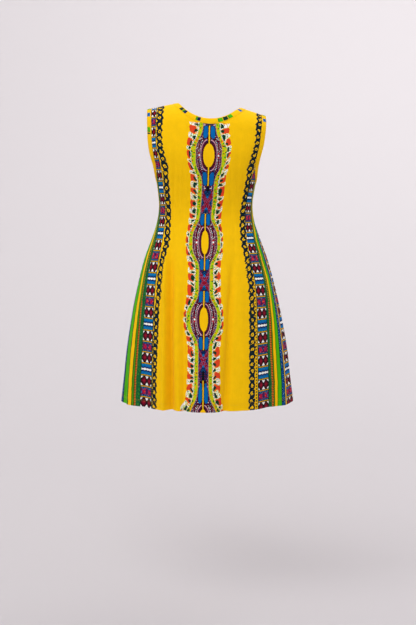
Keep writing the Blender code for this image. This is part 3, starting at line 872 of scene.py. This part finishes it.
made = {}
for place, front in (("back", False), ("front", True)):
    angle, down, reach = centrePlaces(front)
    name = place + "_centre"
    maps = centrePrintPlace(reach, down, front)
    made[name] = clothShell(name + "_cloth", angle, down, maps, centreCloth)
    for sideName, hand in (("left", 1), ("right", -1)):
        angle, down, share = sidePlaces(hand, front)
        name = place + "_side_" + sideName
        maps = sidePrintPlace(share, angle, down, hand, front)
        made[name] = clothShell(name + "_cloth", angle, down, maps, sideCloth)
print("Panels done:", len(made))

binding = {
    # shares of each ring's length where the print crosses it; the rest is plain yellow
    "neckPatches": ((0.05, 0.19), (0.24, 0.36), (0.44, 0.6), (0.68, 0.9)),
    "leftPatches": ((0.0, 0.19), (0.7, 1.0)), "rightPatches": ((0.0, 0.09), (0.8, 1.0)),
    "stations": 240, "rise": 0.0008, "ripple": 0.00018, "ripples": 46, "swell": (0.6, 0.4, 0.37),
    # share of the way from the seam to the finished edge, and share of the rise, negative inside
    "profile": (
        (0.0, -0.25), (0.05, 0.35), (0.12, 0.85), (0.2, 0.62), (0.26, 0.95), (0.45, 1.0), (0.68, 1.0),
        (0.84, 0.85), (0.95, 0.35), (1.0, -0.35), (0.97, -1.05), (0.84, -1.75), (0.55, -2.0), (0.24, -1.9),
        (0.1, -2.0), (0.0, -1.5)),
}


def neckPlaces(widen):
    share = np.linspace(-1, 1, binding["stations"] // 2 + 1)
    back, front = neckCurve(share, widen), neckCurve(share[::-1][1:-1], widen, True)
    angle = np.concatenate((angleAt(*back), angleAt(*front, front=True)))
    return angle, np.concatenate((back[1], front[1]))


def armholePlaces(hand, inset):
    half = binding["stations"] // 2
    share = (1 - np.cos(math.pi * np.arange(half + 1) / half)) / 2
    back, front = armholePlace(hand, share, inset), armholePlace(hand, share[::-1][1:-1], inset, True)
    return np.concatenate((back[0], front[0])), np.concatenate((back[1], front[1]))


def between(seamPlaces, edgePlaces, share):
    turn = np.radians(wrapped(np.degrees(edgePlaces[0] - seamPlaces[0])))
    return seamPlaces[0] + turn * share, mix(seamPlaces[1], edgePlaces[1], share)


def bindingRing(name, seamPlaces, edgePlaces, patched):
    count, around = len(seamPlaces[0]), len(binding["profile"])
    wave = np.sin(np.arange(count) / count * 2 * math.pi * binding["ripples"]) * binding["ripple"]
    least, swing, turn = binding["swell"]
    wave = wave * (least + swing * np.sin(np.arange(count) * turn))
    points = []
    for across, rise in binding["profile"]:
        angle, down = between(seamPlaces, edgePlaces, across)
        height = rise * binding["rise"] + wave * math.sin(math.pi * across) * (rise > 0)
        points.append(clothPoint(angle, down, height)[0])
    points = np.array(points)
    middle = np.concatenate((points[5], points[5][:1]))
    lengths = runLengths(middle)
    bm = bmesh.new()
    bmesh.ops.create_grid(bm, x_segments=count, y_segments=around, size=0.5)
    places = {}
    for vertex in bm.verts:
        station = round((vertex.co.x + 0.5) * count)
        step = round((0.5 - vertex.co.y) * around)
        places[vertex] = station, step
    edgeMap = bm.loops.layers.uv.new("edge")
    for face in bm.faces:
        for loop in face.loops:
            station, step = places[loop.vert]
            across = binding["profile"][step % around][0]
            printed = any(start <= lengths[station] / lengths[-1] <= end for start, end in patched)
            loop[edgeMap].uv = (lengths[station], across if printed else across - 2)
    for vertex in bm.verts:
        station, step = places[vertex]
        vertex.co = points[step % around][station % count]
    bmesh.ops.remove_doubles(bm, verts=bm.verts, dist=1e-6)
    bmesh.ops.recalc_face_normals(bm, faces=bm.faces)
    return finishPiece(bm, name, (bindingFace,))


seamInset = panels["halfGap"]
made["neck_binding"] = bindingRing("neck_binding_cloth", neckPlaces(panels["neckBinding"] - seamInset),
                                   neckPlaces(0.0), binding["neckPatches"])
for sideName, hand in (("left", 1), ("right", -1)):
    name = "armhole_binding_" + sideName
    made[name] = bindingRing(name + "_cloth", armholePlaces(hand, panels["armBinding"] - seamInset),
                             armholePlaces(hand, 0.0), binding[sideName + "Patches"])
print("Bindings done")

stitches = {
    "pitch": 0.0032, "length": 0.0022, "width": 0.00045, "height": 0.0003, "rise": 0.0006, "hemRise": 0.0001,
    "neckShare": 0.20, "armShare": 0.22,   # how far across the band they lie
    "hemRows": (0.0165, 0.0205),
}


def stitchRow(bm, points, normals):
    # small threads laid end to end along a closed line on the cloth
    points, normals = np.concatenate((points, points[:1])), np.concatenate((normals, normals[:1]))
    lengths = runLengths(points)
    count = int(lengths[-1] / stitches["pitch"])
    scale = Matrix.Diagonal((stitches["length"] / 2, stitches["width"] / 2, stitches["height"], 1.0))
    for number in range(count):
        at = (number + 0.5) * lengths[-1] / count
        middle, ahead, normal = (Vector([np.interp(place, lengths, line[:, axis]) for axis in range(3)])
                                 for place, line in ((at, points), (at + 0.001, points), (at, normals)))
        forward = (ahead - middle).normalized()
        normal.normalize()
        turned = Matrix((forward, normal.cross(forward), normal)).transposed().to_4x4()
        placed = Matrix.Translation(middle) @ turned @ scale
        bmesh.ops.create_icosphere(bm, subdivisions=1, radius=1.0, matrix=placed)


def ringLine(seamPlaces, edgePlaces, share):
    angle, down = between(seamPlaces, edgePlaces, share)
    return clothPoint(angle, down, np.full(angle.shape, stitches["rise"]))


def stitchPiece(name, slotName, *lines):
    bm = bmesh.new()
    for line in lines:
        stitchRow(bm, *line)
    return finishPiece(bm, name, (yellowThread,))


around = np.radians(np.linspace(-180, 180, 721))[:-1]
neckLine = ringLine(neckPlaces(panels["neckBinding"]), neckPlaces(0.0), stitches["neckShare"])
sewn = {"neck_binding": stitchPiece("neck_stitches", "binding_print", neckLine)}
for sideName, hand in (("left", 1), ("right", -1)):
    line = ringLine(armholePlaces(hand, panels["armBinding"]), armholePlaces(hand, 0.0), stitches["armShare"])
    sewn["armhole_binding_" + sideName] = stitchPiece("armhole_stitches_" + sideName, "binding_print", line)
hemLines = (clothPoint(around, np.full(around.shape, hem - row), np.full(around.shape, stitches["hemRise"]))
            for row in stitches["hemRows"])
sewn["back_centre"] = stitchPiece("hem_stitches", "centre_print", *hemLines)
print("Stitches done")

for name, piece in made.items():
    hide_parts(name)

studio = {
    "floorLevel": -1.5075, "radius": 7.0, "wallHeight": 6.0, "rise": 4.6, "steps": 96,
    "curveSteps": 26, "roughness": 0.9, "specular": 0.1,
    "backdrop": (0.622, 0.594, 0.606), "world": (1.0, 0.985, 1.0), "worldStrength": 0.75,
    "camera": (-0.0042, 3.5, -0.3), "pitch": 5.2, "lens": 67.2,
    # direction it comes from, strength and spread in degrees
    "lamps": (((0.4, 0.74, 0.54), 3.05, 74.0), ((-0.45, -0.7, 0.5), 1.4, 80.0)),
}


def plainBackdrop():
    bm = bmesh.new()
    radius, rise = studio["radius"], studio["rise"]
    profile = [(0, 0), (radius - rise, 0)]
    profile += [(radius - rise + rise * math.sin(turn), rise * (1 - math.cos(turn)))
                for turn in np.linspace(0.06, math.pi / 2, studio["curveSteps"])]
    profile.append((radius, studio["wallHeight"]))
    points = [bm.verts.new((out, 0, up)) for out, up in profile]
    edges = [bm.edges.new(pair) for pair in zip(points[:-1], points[1:])]
    bmesh.ops.spin(bm, geom=points + edges, cent=(0, 0, 0), axis=(0, 0, 1), angle=2 * math.pi,
                   steps=studio["steps"], use_merge=True)
    bmesh.ops.remove_doubles(bm, verts=bm.verts, dist=1e-4)
    bmesh.ops.recalc_face_normals(bm, faces=bm.faces)
    bmesh.ops.reverse_faces(bm, faces=bm.faces)
    bmesh.ops.translate(bm, verts=bm.verts, vec=(0, 0, studio["floorLevel"]))
    material, _, shader = newMaterial("backdrop")
    setInputs(shader, {"Base Color": studio["backdrop"] + (1.0,), "Roughness": studio["roughness"],
                       "Specular IOR Level": studio["specular"]})
    backdrop = newObject("backdrop", newMesh(bm, "backdrop", (material,)))


def softLamp(number, source, power, spread):
    lamp = bpy.data.lights.new("lamp_%d" % number, "SUN")
    lamp.angle = math.radians(spread)
    lamp.energy = power
    newObject("lamp_%d" % number, lamp).rotation_euler = (-Vector(source)).to_track_quat("-Z", "Y").to_euler()


plainBackdrop()
for number, (source, power, spread) in enumerate(studio["lamps"]):
    softLamp(number, source, power, spread)
world = bpy.data.worlds.new("studio")
world.use_nodes = True
sky = {0: studio["world"] + (1.0,), 1: studio["worldStrength"]}
setInputs(world.node_tree.nodes["Background"], sky)
bpy.context.scene.world = world
bpy.context.scene.view_settings.view_transform = "Standard"

lens = bpy.data.cameras.new("camera")
lens.lens = studio["lens"]
lens.sensor_width = 36.0
lens.sensor_fit = "AUTO"
camera = newObject("camera", lens)
camera.location = studio["camera"]
camera.rotation_euler = (math.radians(90 - studio["pitch"]), 0, math.pi)
bpy.context.scene.camera = camera
print("Studio done")
